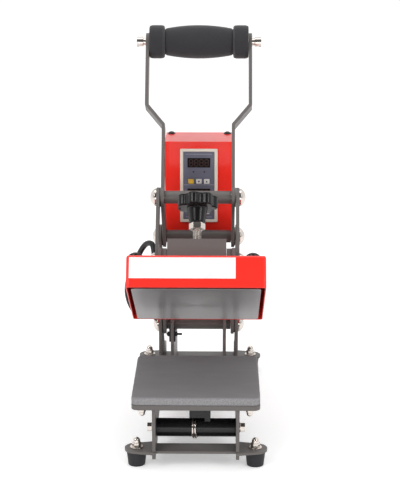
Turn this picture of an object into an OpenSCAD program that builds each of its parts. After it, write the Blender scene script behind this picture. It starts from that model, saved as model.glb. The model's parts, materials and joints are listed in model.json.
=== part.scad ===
// Small clamshell heat press with a flat 150 mm platen and a toggle handle.
// Millimetres, +Z up, -Y is the operator's side. Modelled in the open position.
// Pivots are written as [y, z]; every pivot shaft runs along X.

/* [Platens] */
// Side length of the lower platen, its pad and the heater plate
platen = 150; // [120:1:180]
// Thickness of the lower platen
platen_t = 6; // [4:0.5:10]
// Thickness of the foam pad
pad_t = 10; // [6:0.5:14]
// Thickness of the heater plate
heater_t = 14; // [10:0.5:18]
// Corner radius of the platen and the pad
platen_r = 8; // [3:0.5:14]

/* [Heater cover] */
// Distance from the heater plate to the outside of the cover
cover_margin = 6; // [4:0.5:10]
// Height of the cover
cover_h = 38; // [32:1:50]
// Sheet thickness of the cover
cover_wall = 1.5; // [1:0.1:3]
// Outer radius of the cover's folded edges
fold_r = 4; // [3.5:0.5:8]

/* [Base] */
// Distance between the front and rear feet
foot_pitch_y = 332; // [300:1:380]
// Distance between the left and right feet
foot_pitch_x = 140; // [132:1:170]
// Height of the rubber feet
foot_h = 18; // [12:0.5:26]
// Foot diameter at the top
foot_d = 24; // [20:0.5:30]
// Thickness of the cross plates
cross_t = 3; // [2:0.5:5]
// Width over the two side frames
frame_w = 102; // [96:1:114]
// Thickness of the frame, arm, link and handle plates
plate_t = 4; // [3:0.5:5]
// Height of the platen's underside
deck_z = 74; // [66:1:84]
// Diameter of the tie tube under the platen
tie_d = 22; // [16:0.5:28]

/* [Linkage] */
// Angle by which the heater stands open
open_angle = 31; // [25:0.5:36]
// Distance of the rear pivot behind the middle of the base
rear_y = 43; // [38:1:50]
// Height of the rear pivot
rear_z = 107; // [100:1:112]
// Diameter of the pivot shafts
shaft_d = 12; // [8:0.5:14]
// Diameter of the spacer tubes on the shafts
spacer_d = 16; // [14.5:0.5:22]
// Free gap between plates that turn past each other
side_gap = 1.5; // [1:0.1:2.5]

/* [Handle] */
// Length of the foam grip
grip_l = 125; // [110:1:140]
// Diameter of the grip's end rings
grip_d = 42; // [34:0.5:48]
// Diameter of the steel tube inside the grip
core_d = 22; // [16:0.5:26]
// Distance from the upper pivot to the grip
handle_l = 203; // [180:1:230]
// Lean of the handle behind the vertical
handle_lean = 28; // [20:0.5:34]

/* [Pressure screw] */
// Diameter of the threaded stud
stud_d = 10; // [8:0.5:12]
// Diameter over the knob's lobes
knob_d = 50; // [40:1:60]
// Number of lobes on the knob
knob_lobes = 7; // [5:1:9]
// How far the heater can be screwed up towards the arm
screw_travel = 4; // [2:0.5:6]

/* [Control box] */
// Width of the control box
box_w = 87; // [80:1:92]
// Depth of the control box
box_d = 64; // [56:1:80]
// Height of the control box
box_h = 126; // [118:1:140]
// Sheet thickness of the box
box_wall = 1.5; // [1:0.1:2.5]
// Width of the controller's panel
panel_w = 40; // [36:0.5:46]
// Height of the controller's panel
panel_h = 89; // [84:0.5:96]

/* [Hidden] */
$fn = 64;

// Running clearance of a shaft in its bore, and the gap between fixed pieces
run_gap = 0.05;
seat_gap = 0.3;
foot_bolt_d = 6;
foot_nut_af = 9.5;
washer_t = 1.4;

// Pivots in the open position: rear hinge, frame top, handle knee and link foot
pivot_a = [rear_y, rear_z];
pivot_c = [rear_y + 5, rear_z + 115];
pivot_d = [rear_y - 50, rear_z + 179.2];
pivot_e = [rear_y - 105, rear_z + 111.7];

function turned(p, c, a) = let (v = p - c)
  c + [v[0] * cos(a) - v[1] * sin(a), v[0] * sin(a) + v[1] * cos(a)];

// The link foot when the press is shut, and the play that the open pivot needs
pivot_e_shut = turned(pivot_e, pivot_a, open_angle);
loop_play = [-8.6, -2.0];

// Stack of plates across the machine, from the outside in
frame_out = frame_w / 2;
frame_in = frame_out - plate_t;
arm_out = frame_in - side_gap;
arm_in = arm_out - plate_t;
brace_out = arm_in - 6;
hub_r = 14;
boss_t = side_gap - 0.3;

// Heights
cross_top = foot_h + cross_t;
pad_z = deck_z + platen_t;
pad_top = pad_z + pad_t;
heater_z = pad_top + seat_gap;
cover_z = heater_z + 1.7;
cover_top = cover_z + cover_h;
platen_y = -foot_pitch_y / 2 - 18;
platen_mid = platen_y + platen / 2;
cover_w = platen + 2 * cover_margin;
tie_at = [platen_y + 34, deck_z - 34];
switch_at = [pivot_a[0] - 19, pivot_a[1] - 9];
switch_screw_d = 2.8;

// Arm, in the shut position
arm_clear = cover_top + screw_travel + 0.5;
knee = [rear_y - 43, pivot_e_shut[1]];
bridge_t = 5;
block_y = platen_y + 29;
block_d = 34;
block_w = 70;
block_z = arm_clear + bridge_t;
block_top = cover_top + 33.5;
screw_y = block_y + block_d / 2;
nut_z = block_top + 12;
nut_h = 7.5;
hub_z = nut_z + nut_h;
rim_z = hub_z + 19;
rim_h = 14.5;

// Control box
box_y = rear_y + 26;
box_z = rear_z + 108;
panel_z = box_z + 69;

// Controller layout, from the middle of its panel
bezel_w = panel_w + 8;
bezel_h = panel_h + 7;
bezel_t = 3;
body_w = bezel_w - 4;
body_h = bezel_h - 6;
inlet_depth = 22;
body_depth = box_d - inlet_depth - 2;
panel_t = 1.2;
panel_y = box_y - bezel_t + panel_t + 0.6;
window_w = 29;
window_h = 12;
window_zs = [30, -10];
key_w = 7;
key_h = 6;
key_pitch = 10;
key_depth = 2;
key_zs = [5.7, -34.3];
inlet_w = 27;
inlet_h = 20;
inlet_z = box_z + 14;
rocker_w = 13;
rocker_h = 19;
rocker_z = box_z + 50;
rocker_play = 0.9;
rocker_tilt = 9;
grip_out = grip_l / 2 + 0.3 + plate_t;

// Draws a flat shape given in [y, z] as a plate that starts at x
module plate(x, t = plate_t) {
  translate([x, 0, 0]) rotate([90, 0, 90]) linear_extrude(t) children();
}

// Mirrors a right-hand piece to the left side when side is -1
module on_side(side) {
  if (side > 0) children();
  else mirror([1, 0, 0]) children();
}

// A bar with round ends between two points
module bar(p, q, r) {
  v = (q - p) / norm(q - p) * r;
  n = [-v[1], v[0]];
  translate(p) circle(r);
  translate(q) circle(r);
  polygon([p + n, p - n, q - n, q + n]);
}

// A shaft or tube along X, centred on the machine
module across(p, d, length) {
  translate([-length / 2, p[0], p[1]]) rotate([0, 90, 0]) cylinder(d = d, h = length);
}

// Turns the arm and everything on it from shut to open
module opened() {
  translate([0, pivot_a[0], pivot_a[1]]) rotate([-open_angle, 0, 0])
    translate([0, -pivot_a[0], -pivot_a[1]]) children();
}

// The same for what the pressure screw lifts, which rests screwed up
module lifted() { opened() translate([0, 0, screw_travel]) children(); }

module hex_prism(af, h) { cylinder(r = af / 2 / cos(30), h = h, $fn = 6); }

// Cap nut: a hexagon below, a short neck and a round top
module cap_nut(af) {
  neck_d = af * 0.92;
  hex_h = af * 0.55;
  neck_h = af * 0.75;
  intersection() {
    hex_prism(af, hex_h);
    cylinder(d1 = af * 1.1 + 1, d2 = af * 1.1, h = hex_h);
  }
  cylinder(d = neck_d, h = neck_h);
  translate([0, 0, neck_h]) sphere(d = neck_d);
}

// A square with rounded corners, centred
module rounded(w, d, r) {
  square([w - 2 * r, d], center = true);
  square([w, d - 2 * r], center = true);
  for (x = [-1, 1], y = [-1, 1]) translate([x * (w / 2 - r), y * (d / 2 - r)]) circle(r);
}

// Base

module cross_outline() {
  ear = 14;
  wide = 18;
  waist = 12.5;
  difference() {
    union() {
      square([frame_w, 2 * wide], center = true);
      for (x = [-1, 1]) {
        translate([x * foot_pitch_x / 2, 0]) circle(ear);
        polygon([[x * frame_in, wide], [x * frame_out, wide], [x * (foot_pitch_x / 2 + 2), ear - 0.15],
                 [x * (foot_pitch_x / 2 + 2), 0.15 - ear], [x * frame_out, -wide], [x * frame_in, -wide]]);
      }
    }
    for (y = [-1, 1]) translate([0, y * (waist + 10)]) square([2 * frame_in, 20], center = true);
  }
}

module cross_plate(y) {
  difference() {
    translate([0, y, foot_h]) linear_extrude(cross_t) cross_outline();
    for (x = [-1, 1]) translate([x * foot_pitch_x / 2, y, foot_h - 1])
      cylinder(d = foot_bolt_d + 0.4, h = cross_t + 2);
  }
}

module front_cross_plate() { color("dimgray") cross_plate(-foot_pitch_y / 2); }
module rear_cross_plate() { color("dimgray") cross_plate(foot_pitch_y / 2); }

module at_feet() {
  for (x = [-1, 1], y = [-1, 1]) translate([x * foot_pitch_x / 2, y * foot_pitch_y / 2, 0]) children();
}

module rubber_feet() {
  color([0.1, 0.1, 0.11]) at_feet() difference() {
    cylinder(d1 = foot_d - 4, d2 = foot_d, h = foot_h);
    translate([0, 0, -1]) cylinder(d = 13.6, h = 5);
    cylinder(d = foot_bolt_d + 0.4, h = foot_h + 1);
  }
}

module foot_bolts() {
  color("silver") at_feet() {
    translate([0, 0, 1]) cylinder(d = 13, h = 3);
    translate([0, 0, 3]) cylinder(d = foot_bolt_d, h = cross_top + washer_t + 7 - 3);
  }
}

// Flat washer and domed cap nut on each foot bolt
module foot_nuts() {
  color("gainsboro") at_feet() difference() {
    union() {
      translate([0, 0, cross_top]) cylinder(d = 15.5, h = washer_t);
      translate([0, 0, cross_top + washer_t]) cap_nut(foot_nut_af);
    }
    translate([0, 0, cross_top - 1]) cylinder(d = foot_bolt_d + 2 * run_gap, h = washer_t + 8.2);
  }
}

// Side frame: a long foot plate that rises into the upright for both pivots
module frame_outline() {
  front = platen_y + 2;
  rear = foot_pitch_y / 2 + 18;
  low = foot_h - 6;
  difference() {
    union() {
      polygon([[front, low], [rear, low], [rear, cross_top + 14], [rear - 60, cross_top + 26],
               [pivot_a[0] + 34, pivot_a[1] - 8], [pivot_c[0] + 15, pivot_c[1] - 50],
               [pivot_c[0] + 15, pivot_c[1]], [pivot_c[0] - 15, pivot_c[1]],
               [pivot_a[0] - 15, pivot_a[1]], [pivot_a[0] - 15, deck_z - 4],
               [platen_y + platen + 10, deck_z - 14], [platen_y + platen - 4, deck_z],
               [front, deck_z]]);
      translate(pivot_c) circle(15);
    }
    // Arch between the cross plates
    polygon([[front + 60, low - 1], [front + 72, low + 14], [rear - 72, low + 14], [rear - 60, low - 1]]);
    for (y = [-1, 1]) translate([y * foot_pitch_y / 2 - 18 - (y < 0 ? 1 : 0), foot_h])
      square([37, cross_t]);
    // Lightening window below the rear pivot
    polygon([[pivot_a[0] + 4, cross_top + 22], [rear - 74, cross_top + 20],
             [pivot_a[0] + 24, pivot_a[1] - 32], [pivot_a[0] + 4, pivot_a[1] - 28]]);
    for (p = [pivot_a, pivot_c]) translate(p) circle(d = shaft_d + 2 * run_gap);
    translate(tie_at) circle(d = 6.4);
  }
}

module side_frame(side) { color([0.36, 0.34, 0.33]) on_side(side) plate(frame_in) frame_outline(); }
module side_frame_left() { side_frame(-1); }
module side_frame_right() { side_frame(1); }

// Inner brace: from the rear cross plate over the rear spacer up to the control box
module brace_outline() {
  rear = foot_pitch_y / 2 + 12;
  front = pivot_a[0] - 25;
  difference() {
    polygon([[front, pivot_a[1] - 57], [front, pivot_a[1] + 8], [pivot_a[0], pivot_a[1] + 26],
             [box_y + 4, pivot_a[1] + 76], [box_y + 4, box_z], [box_y + box_d - 6, box_z],
             [box_y + box_d - 6, box_z - 44], [rear, cross_top + 22], [rear, cross_top],
             [rear - 24, cross_top], [rear - 64, cross_top + 14], [pivot_a[0] + 12, pivot_a[1] - 57]]);
    translate(pivot_a) circle(d = spacer_d + 2 * run_gap);
    translate(switch_at) circle(d = switch_screw_d + 2 * run_gap);
    polygon([[box_y + 8, pivot_a[1] - 20], [rear - 40, cross_top + 42],
             [box_y + box_d - 20, box_z - 52], [box_y + 18, box_z - 48]]);
  }
}
module inner_brace(side) {
  color([0.45, 0.43, 0.42]) on_side(side) plate(brace_out - plate_t) brace_outline();
}
module inner_brace_left() { inner_brace(-1); }
module inner_brace_right() { inner_brace(1); }

module tie_tube() {
  color([0.07, 0.07, 0.08]) difference() {
    across(tie_at, tie_d, 2 * frame_in);
    across(tie_at, 6.1, 2 * frame_in + 2);
  }
}

// Hexagon bolts that close the tie tube, each with a washer
module tie_bolts() {
  color("silver") for (x = [-1, 1]) on_side(x) translate([frame_out, tie_at[0], tie_at[1]]) rotate([0, 90, 0]) {
    cylinder(d = 12, h = 1.5);
    translate([0, 0, 1.5]) hex_prism(10, 5.5);
    translate([0, 0, -26]) cylinder(d = 6, h = 26);
  }
}

// Split ring of spring steel wound round the tie tube, as one unbroken wire
ring_turns = 2;
ring_wire = 2.4;
ring_pitch = 3;
ring_steps = 24;
ring_r = tie_d / 2 + ring_wire / 2 + 0.4;
function ring_point(i) = let (a = 360 * i / ring_steps, turn = i / ring_steps)
  [ring_pitch * (turn - ring_turns / 2) - 1 + 1.6 * cos(a), ring_r * cos(a), ring_r * sin(a)];
ring_path = [for (i = [0 : ring_turns * ring_steps]) ring_point(i)];
ring_gap = min([for (i = [0 : len(ring_path) - 1], j = [0 : len(ring_path) - 1])
  if (j - i > ring_steps / 2) norm(ring_path[i] - ring_path[j])]) - ring_wire;
echo(split_ring_least_gap = ring_gap);
module split_ring() {
  color("gainsboro") translate([0, tie_at[0], tie_at[1]]) tube(ring_path, ring_wire / 2, 6);
}

// Sweeps a round section along a list of points as one polyhedron
module tube(path, r, sides) {
  n = len(path);
  dir = [for (i = [0 : n - 1]) let (d = path[min(i + 1, n - 1)] - path[max(i - 1, 0)]) d / norm(d)];
  frames = side_vectors(dir, start_side(dir[0]), 0);
  points = [for (i = [0 : n - 1], k = [0 : sides - 1]) let (a = 360 * k / sides, u = frames[i])
    path[i] + r * (cos(a) * u + sin(a) * cross(dir[i], u))];
  faces = concat(
    [for (i = [0 : n - 2], k = [0 : sides - 1], h = [0, 1])
      let (m = (k + 1) % sides, a = i * sides, b = a + sides) h == 0 ? [a + k, b + k, a + m] : [a + m, b + k, b + m]],
    [for (k = [1 : sides - 2]) [0, k, k + 1]],
    [for (k = [1 : sides - 2]) let (e = (n - 1) * sides) [e, e + k + 1, e + k]]);
  polyhedron(points, faces, convexity = 10);
}
function unit(v) = v / norm(v);
function start_side(d) = unit(cross(d, abs(d[2]) < 0.9 ? [0, 0, 1] : [1, 0, 0]));
function side_vectors(dir, u, i) = i >= len(dir) ? [] :
  let (w = unit(u - (u * dir[i]) * dir[i])) concat([w], side_vectors(dir, w, i + 1));

// Saddle between the tie tube and the platen
module saddle_block() {
  color([0.08, 0.08, 0.09]) difference() {
    translate([-8, tie_at[0] - 6, tie_at[1] + 2]) cube([25, 26, deck_z - tie_at[1] - 2]);
    across(tie_at, tie_d + 2 * run_gap, 200);
    translate([0, tie_at[0], tie_at[1]]) rotate([0, 90, 0])
      cylinder(r = ring_r + ring_wire, h = 2 * (ring_turns * ring_pitch + 4), center = true);
  }
}

module platen_shape(t, r, inset = 0) {
  translate([0, platen_mid, 0]) linear_extrude(t) rounded(platen - 2 * inset, platen - 2 * inset, r);
}
module at_platen_studs() {
  side = platen / 2 - 12;
  for (x = [-side, side], y = [-side, side]) translate([x, platen_mid + y, 0]) children();
}
module lower_platen() {
  color([0.33, 0.31, 0.31]) difference() {
    translate([0, 0, deck_z]) platen_shape(platen_t, platen_r);
    at_platen_studs() translate([0, 0, deck_z - 1]) cylinder(d = 5.4, h = platen_t + 2);
  }
}
// Pad with its upper edge rounded over in two steps
module foam_pad() {
  color([0.42, 0.41, 0.42]) {
    translate([0, 0, pad_z]) platen_shape(pad_t - 3, platen_r);
    translate([0, 0, pad_top - 3]) platen_shape(1.5, platen_r, 0.5);
    translate([0, 0, pad_top - 1.5]) platen_shape(1.5, platen_r, 1.6);
  }
}
// Corner studs, each with a domed nut under the platen
module platen_studs() {
  color("gainsboro") at_platen_studs() {
    translate([0, 0, deck_z - 6]) cylinder(d = 5, h = platen_t + 6);
    translate([0, 0, deck_z - 1]) cylinder(d = 11, h = 1);
    translate([0, 0, deck_z - 1]) mirror([0, 0, 1]) cap_nut(8.4);
  }
}

// Pivot hardware

// Domed cap whose flat face lies on a plate's outer side
module cap(p, x) {
  cap_d = 22;
  for (s = [-1, 1]) on_side(s) translate([x, p[0], p[1]]) rotate([0, 90, 0]) rotate_extrude()
    intersection() {
      translate([0, -5]) circle(13.2);
      square([cap_d / 2, 9]);
    }
}
module shaft(p) { color("silver") across(p, shaft_d, frame_w); }
module spacer(p) {
  color([0.33, 0.31, 0.30]) difference() {
    across(p, spacer_d, 2 * arm_in - 0.6);
    across(p, shaft_d + 2 * run_gap, frame_w);
  }
}
module frame_shafts() {
  shaft(pivot_a);
  shaft(pivot_c);
}
module frame_spacers() {
  spacer(pivot_a);
  spacer(pivot_c);
}
module frame_caps() {
  color("silver") {
    cap(pivot_a, frame_out);
    cap(pivot_c, frame_out);
  }
}

// Travel switch on the left brace: two leaves clamped by a cross screw
module limit_switch() {
  leaf_t = 2;
  inner = brace_out - plate_t - leaf_t;
  head = brace_out + leaf_t;
  at_switch = [0, switch_at[0], switch_at[1]];
  color([0.08, 0.08, 0.08]) translate(at_switch) difference() {
    for (x = [-head, -inner - leaf_t]) translate([x, -5, -9]) cube([leaf_t, 10, 20]);
    translate([-head - 1, 0, 0]) rotate([0, 90, 0]) cylinder(d = switch_screw_d, h = plate_t + 2 * leaf_t + 2);
  }
  color("silver") translate(at_switch) rotate([0, 90, 0]) {
    translate([0, 0, -head - 3.5]) cylinder(d = switch_screw_d, h = plate_t + 2 * leaf_t + 12);
    for (x = [-head - 2.5, -inner]) translate([0, 0, x]) hex_prism(6, 2.5);
  }
}

// Control box

module at_panel(x, z, y) { translate([x, y, panel_z + z]) rotate([90, 0, 0]) children(); }

// Folded shell, open at the back, cut out for the controller
module control_box() {
  color([0.86, 0.12, 0.08]) difference() {
    translate([-box_w / 2, box_y, box_z]) cube([box_w, box_d - box_wall, box_h]);
    translate([box_wall - box_w / 2, box_y + box_wall, box_z + box_wall])
      cube([box_w - 2 * box_wall, box_d, box_h - 2 * box_wall]);
    at_panel(0, 0, box_y + 5) linear_extrude(10)
      square([body_w + 2 * run_gap, body_h + 2 * run_gap], center = true);
    translate([grommet_at[0], grommet_at[1], box_z - 1]) cylinder(d = grommet_d + 2 * run_gap, h = 4);
    at_box_screws() translate([0, 0, -3]) cylinder(d = 4.1, h = 4);
  }
}
module box_back() {
  color([0.86, 0.12, 0.08]) difference() {
    translate([-box_w / 2, box_y + box_d - box_wall, box_z]) cube([box_w, box_wall, box_h]);
    translate([-inlet_w / 2 - run_gap, box_y + box_d - 5, inlet_z - run_gap])
      cube([inlet_w + 2 * run_gap, 10, inlet_h + 2 * run_gap]);
    translate([-rocker_w / 2 - seat_gap, box_y + box_d - 5, rocker_z - rocker_play])
      cube([rocker_w + 2 * seat_gap, 10, rocker_h + 2 * rocker_play]);
    for (z = [0 : 5]) translate([0, box_y + box_d, box_z + 88 + 5 * z]) rotate([90, 0, 0])
      linear_extrude(4, center = true) rounded(40, 2, 0.9);
  }
}
module box_screws() {
  color([0.12, 0.12, 0.12]) at_box_screws() {
    intersection() {
      translate([0, 0, -3]) sphere(r = 6);
      cylinder(d = 10, h = 5);
    }
    translate([0, 0, -4]) cylinder(d = 4, h = 4.5);
  }
}
module at_box_screws() {
  for (x = [-1, 1]) translate([x * (box_w / 2 - 7), box_y + box_d - 9, box_z + box_h]) children();
}

// Rubber grommet in the box's floor, where the heater's cable goes in
module box_grommet() {
  color([0.06, 0.06, 0.07]) translate([grommet_at[0], grommet_at[1], box_z]) difference() {
    union() {
      translate([0, 0, -grommet_t]) cylinder(d = grommet_d + 4, h = grommet_t);
      cylinder(d = grommet_d, h = box_wall);
      translate([0, 0, box_wall]) cylinder(d = grommet_d + 3, h = 2);
    }
    translate([0, 0, 1]) cylinder(d = cable_d - 1, h = 5);
  }
}

// Controller housing with its raised bezel and the pockets behind the panel
module controller_body() {
  color([0.93, 0.88, 0.80]) difference() {
    union() {
      at_panel(0, 0, box_y) linear_extrude(bezel_t) rounded(bezel_w, bezel_h, 1.5);
      at_panel(0, 0, box_y + body_depth) linear_extrude(body_depth) square([body_w, body_h], center = true);
    }
    at_panel(0, 0, panel_y) linear_extrude(10) square([panel_w, panel_h], center = true);
    at_keys() translate([0, 0, -5]) linear_extrude(10) square([key_w + 0.6, key_h + 0.6], center = true);
  }
}
module controller_panel() {
  color([0.40, 0.43, 0.50]) difference() {
    at_panel(0, 0, panel_y) linear_extrude(panel_t) square([panel_w - 0.2, panel_h - 0.2], center = true);
    at_keys() linear_extrude(10, center = true) square([key_w + 0.6, key_h + 0.6], center = true);
    for (z = window_zs) at_panel(0, z, panel_y + 5) linear_extrude(10)
      square([window_w + 0.1, window_h + 0.1], center = true);
  }
}
module display_windows() {
  color([0.08, 0.05, 0.05]) for (z = window_zs) at_panel(0, z, panel_y) linear_extrude(panel_t + 0.4)
    square([window_w, window_h], center = true);
}
module at_keys() {
  for (x = [-key_pitch, 0, key_pitch], z = key_zs) at_panel(x, z, panel_y) children();
}
module key(x, z) {
  at_panel(x, z, panel_y + key_depth) linear_extrude(key_depth + panel_t + 0.9) rounded(key_w, key_h, 0.8);
}
module set_button() { color([0.90, 0.72, 0.20]) key(-key_pitch, key_zs[0]); }
module down_button() { color([0.9, 0.9, 0.9]) key(0, key_zs[0]); }
module up_button() { color([0.9, 0.9, 0.9]) key(key_pitch, key_zs[0]); }
module timer_set_button() { color([0.90, 0.72, 0.20]) key(-key_pitch, key_zs[1]); }
module timer_down_button() { color([0.9, 0.9, 0.9]) key(0, key_zs[1]); }
module timer_up_button() { color([0.9, 0.9, 0.9]) key(key_pitch, key_zs[1]); }

// Mains inlet and rocker switch on the back
module power_inlet() {
  color([0.07, 0.07, 0.07]) difference() {
    union() {
      translate([-inlet_w / 2, box_y + box_d - inlet_depth, inlet_z]) cube([inlet_w, inlet_depth, inlet_h]);
      translate([-inlet_w / 2 - 4, box_y + box_d, inlet_z - 2]) cube([inlet_w + 8, 2.5, inlet_h + 4]);
    }
    translate([-inlet_w / 2 + 2.5, box_y + box_d - 15, inlet_z + 2.5]) cube([inlet_w - 5, 20, inlet_h - 5]);
  }
  color("silver") for (x = [-7, 0, 7]) translate([x - 1, box_y + box_d - 15, inlet_z + inlet_h / 2 - 2])
    cube([2, 13, 4]);
}
module power_rocker() {
  half = rocker_h / 2;
  color([0.7, 0.08, 0.06]) translate([-rocker_w / 2, box_y + box_d - 3, rocker_z + half]) rotate([rocker_tilt, 0, 0])
    rotate([90, 0, 90]) linear_extrude(rocker_w)
      polygon([[-4, 1.5 - half], [4, 0.5 - half], [3, 0], [4, half - 0.5], [-4, half - 1.5]]);
}

// Handle

function mitred(p, d) = [for (i = [0 : len(p) - 1])
  let (a = unit(p[i] - p[max(i - 1, 0)] + (i == 0 ? p[1] - p[0] : [0, 0])),
       b = unit(p[min(i + 1, len(p) - 1)] - p[i] + (i == len(p) - 1 ? p[i] - p[i - 1] : [0, 0])),
       m = unit(a + b), n = [-m[1], m[0]])
  p[i] + n * d / (n * [-a[1], a[0]])];

grip_at = pivot_d + handle_l * [sin(handle_lean), cos(handle_lean)];

module in_handle() {
  translate([0, pivot_d[0], pivot_d[1]]) rotate([-handle_lean, 0, 0]) children();
}

// Flat bar bent outward twice below the grip, on the plate that joins both pivots
module handle_arm(side) {
  bend_low = 91;
  bend_high = 117;
  bar_r = 11;
  start = norm(pivot_c - pivot_d) + 2 * hub_r;
  line = [[arm_out - plate_t / 2, -start], [arm_out - plate_t / 2, bend_low],
          [grip_out - plate_t / 2, bend_high], [grip_out - plate_t / 2, handle_l + 2 * bar_r]];
  outer = mitred(line, -plate_t / 2);
  color([0.37, 0.36, 0.36]) on_side(side) difference() {
    union() {
      intersection() {
        in_handle() rotate([90, 0, 0]) linear_extrude(4 * start, center = true)
          polygon(concat(mitred(line, plate_t / 2), [for (i = [3 : -1 : 0]) outer[i]]));
        plate(0, 2 * grip_out) {
          bar(pivot_c, pivot_d, hub_r);
          bar(pivot_d, grip_at, bar_r);
        }
      }
      for (p = [pivot_c, pivot_d]) plate(arm_out, boss_t) translate(p) circle(hub_r - 2);
    }
    for (p = [pivot_c, pivot_d]) across(p, shaft_d + 2 * run_gap, 200);
    across(grip_at, 8.2, 200);
  }
}
module handle_arm_left() { handle_arm(-1); }
module handle_arm_right() { handle_arm(1); }
module upper_spacer() { spacer(pivot_d); }

module handle_core() {
  color("gray") in_handle() difference() {
    across([0, handle_l], core_d, grip_l + 0.6);
    across([0, handle_l], 8.1, grip_l + 2);
  }
}

// Foam grip: a barrel between two rings
module handle_grip() {
  ring_w = 19;
  groove = 1.2;
  waist_r = grip_d / 2 - 4.2;
  half = grip_l / 2;
  barrel = half - ring_w - groove;
  r = grip_d / 2;
  steps = 24;
  edge = [[half - 3, r - 0.3], [half - 1, r - 1.6], [half, r - 4]];
  right = concat([for (i = [0 : steps]) let (x = barrel * (2 * i / steps - 1))
      [waist_r + (r - waist_r) * (1 - pow(x / barrel, 2)), x]],
    [[waist_r - 1.2, barrel + groove / 2], [r - 1.5, barrel + groove], [r, barrel + groove + 2]],
    [for (e = edge) [e[1], e[0]]]);
  left = [[r - 4, -half], [r - 1.6, 1 - half], [r - 0.3, 3 - half], [r, -barrel - groove - 2],
    [r - 1.5, -barrel - groove], [waist_r - 1.2, -barrel - groove / 2]];
  color([0.13, 0.13, 0.14]) in_handle() translate([0, 0, handle_l]) rotate([0, 90, 0]) rotate_extrude()
    polygon(concat([[core_d / 2 + run_gap, -half]], left, right, [[core_d / 2 + run_gap, half]]));
}

// Slotted screws that hold the grip's tube between the arms
module handle_bolts() {
  color("silver") for (s = [-1, 1]) on_side(s) in_handle() translate([grip_out, 0, handle_l]) rotate([0, 90, 0])
    difference() {
      union() {
        translate([0, 0, -30]) cylinder(d = 8, h = 31);
        cylinder(d = 9.5, h = 3.7);
        translate([0, 0, 3.7]) cylinder(d = 12.5, h = 8);
      }
      translate([-10, -0.9, 9]) cube([20, 1.8, 10]);
    }
}

// Links between the handle's knee and the arm

module link(side) {
  color([0.43, 0.41, 0.40]) on_side(side) plate(frame_in) difference() {
    bar(pivot_d, pivot_e, hub_r - 2);
    for (p = [pivot_d, pivot_e]) translate(p) circle(d = shaft_d + 2 * run_gap);
  }
}
module link_left() { link(-1); }
module link_right() { link(1); }
module link_shafts() {
  shaft(pivot_d);
  shaft(pivot_e);
}
module link_caps() {
  color("silver") {
    cap(pivot_d, frame_out);
    cap(pivot_e, frame_out);
  }
}

// Arm, drawn shut and turned open

module arm_outline() {
  front = block_y - 3;
  difference() {
    union() {
      bar(pivot_a, knee, hub_r);
      bar(knee, pivot_e_shut, hub_r);
      polygon([[front, arm_clear], [front, arm_clear + 17], [pivot_e_shut[0] - 12, pivot_e_shut[1] + hub_r],
               [pivot_e_shut[0] + 2, pivot_e_shut[1] + hub_r], [pivot_e_shut[0] + 2, arm_clear]]);
    }
    translate(pivot_a) circle(d = shaft_d + 2 * run_gap);
    bar(pivot_e_shut, pivot_e_shut + loop_play, shaft_d / 2 + seat_gap);
  }
}
module arm(side) {
  color([0.38, 0.36, 0.35]) opened() on_side(side) {
    plate(arm_in) arm_outline();
    difference() {
      plate(arm_out, boss_t) translate(pivot_a) circle(hub_r - 2);
      across(pivot_a, shaft_d + 2 * run_gap, 200);
    }
  }
}
module arm_left() { arm(-1); }
module arm_right() { arm(1); }

// Cross plate between the arm's sides, with a raised cheek beside the block
module arm_bridge() {
  front = block_y - 3;
  color([0.30, 0.28, 0.28]) opened() difference() {
    union() {
      translate([-arm_in, front, arm_clear]) cube([2 * arm_in, 66, bridge_t]);
      for (s = [-1, 1]) on_side(s) translate([block_w / 2 + seat_gap, block_y + 1, arm_clear])
        cube([arm_in - block_w / 2 - seat_gap, block_d - 2, 17.5]);
    }
    translate([0, screw_y, arm_clear - 1]) cylinder(d = stud_d + 0.6, h = 20);
  }
}

// Rectangular tube that carries the pressure screw's thread
module pressure_block() {
  wall = 4;
  color([0.40, 0.37, 0.36]) opened() difference() {
    translate([-block_w / 2, block_y, block_z]) cube([block_w, block_d, block_top - block_z]);
    translate([-block_w / 2 - 1, block_y + wall, block_z + wall])
      cube([block_w + 2, block_d - 2 * wall, block_top - block_z - 2 * wall]);
    translate([0, screw_y, block_z - 1]) cylinder(d = stud_d + 0.6, h = 40);
  }
}

module at_screw(z) { lifted() translate([0, screw_y, z]) children(); }

module pressure_stud() {
  color("silver") at_screw(cover_top - 8) cylinder(d = stud_d, h = rim_z + 4 - cover_top + 8);
}
module lock_nut() {
  color("gainsboro") at_screw(nut_z) difference() {
    hex_prism(17, nut_h);
    translate([0, 0, -1]) cylinder(d = stud_d + 2 * run_gap, h = 20);
  }
}
module knob_outline(r) {
  lobe = r * 0.27;
  difference() {
    circle(r - 1.5);
    for (i = [0 : knob_lobes - 1]) rotate(360 / knob_lobes * (i + 0.5)) translate([r + lobe * 0.62, 0])
      circle(lobe * 1.25);
  }
  for (i = [0 : knob_lobes - 1]) rotate(360 / knob_lobes * i) translate([r - lobe * 1.05, 0]) circle(lobe * 1.05);
}
// Star knob: a lobed rim over a tapered hub
module pressure_knob() {
  r = knob_d / 2;
  color([0.05, 0.05, 0.05]) at_screw(hub_z) difference() {
    union() {
      cylinder(d1 = 19, d2 = 25, h = rim_z - hub_z);
      translate([0, 0, rim_z - hub_z]) {
        linear_extrude(1.2) knob_outline(r - 1.2);
        translate([0, 0, 1.2]) linear_extrude(rim_h - 2.4) knob_outline(r);
        translate([0, 0, rim_h - 1.2]) linear_extrude(1.2) knob_outline(r - 1.2);
      }
    }
    translate([0, 0, -1]) cylinder(d = stud_d + 2 * run_gap, h = rim_z - hub_z + 5.1);
  }
}

// Heater head, drawn shut and turned open

module at_cover_studs() {
  for (x = [10 - cover_w / 2, cover_w / 2 - 15], y = [-1, 1])
    translate([x, platen_mid + y * (cover_w / 2 - 20), 0]) children();
}

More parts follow.
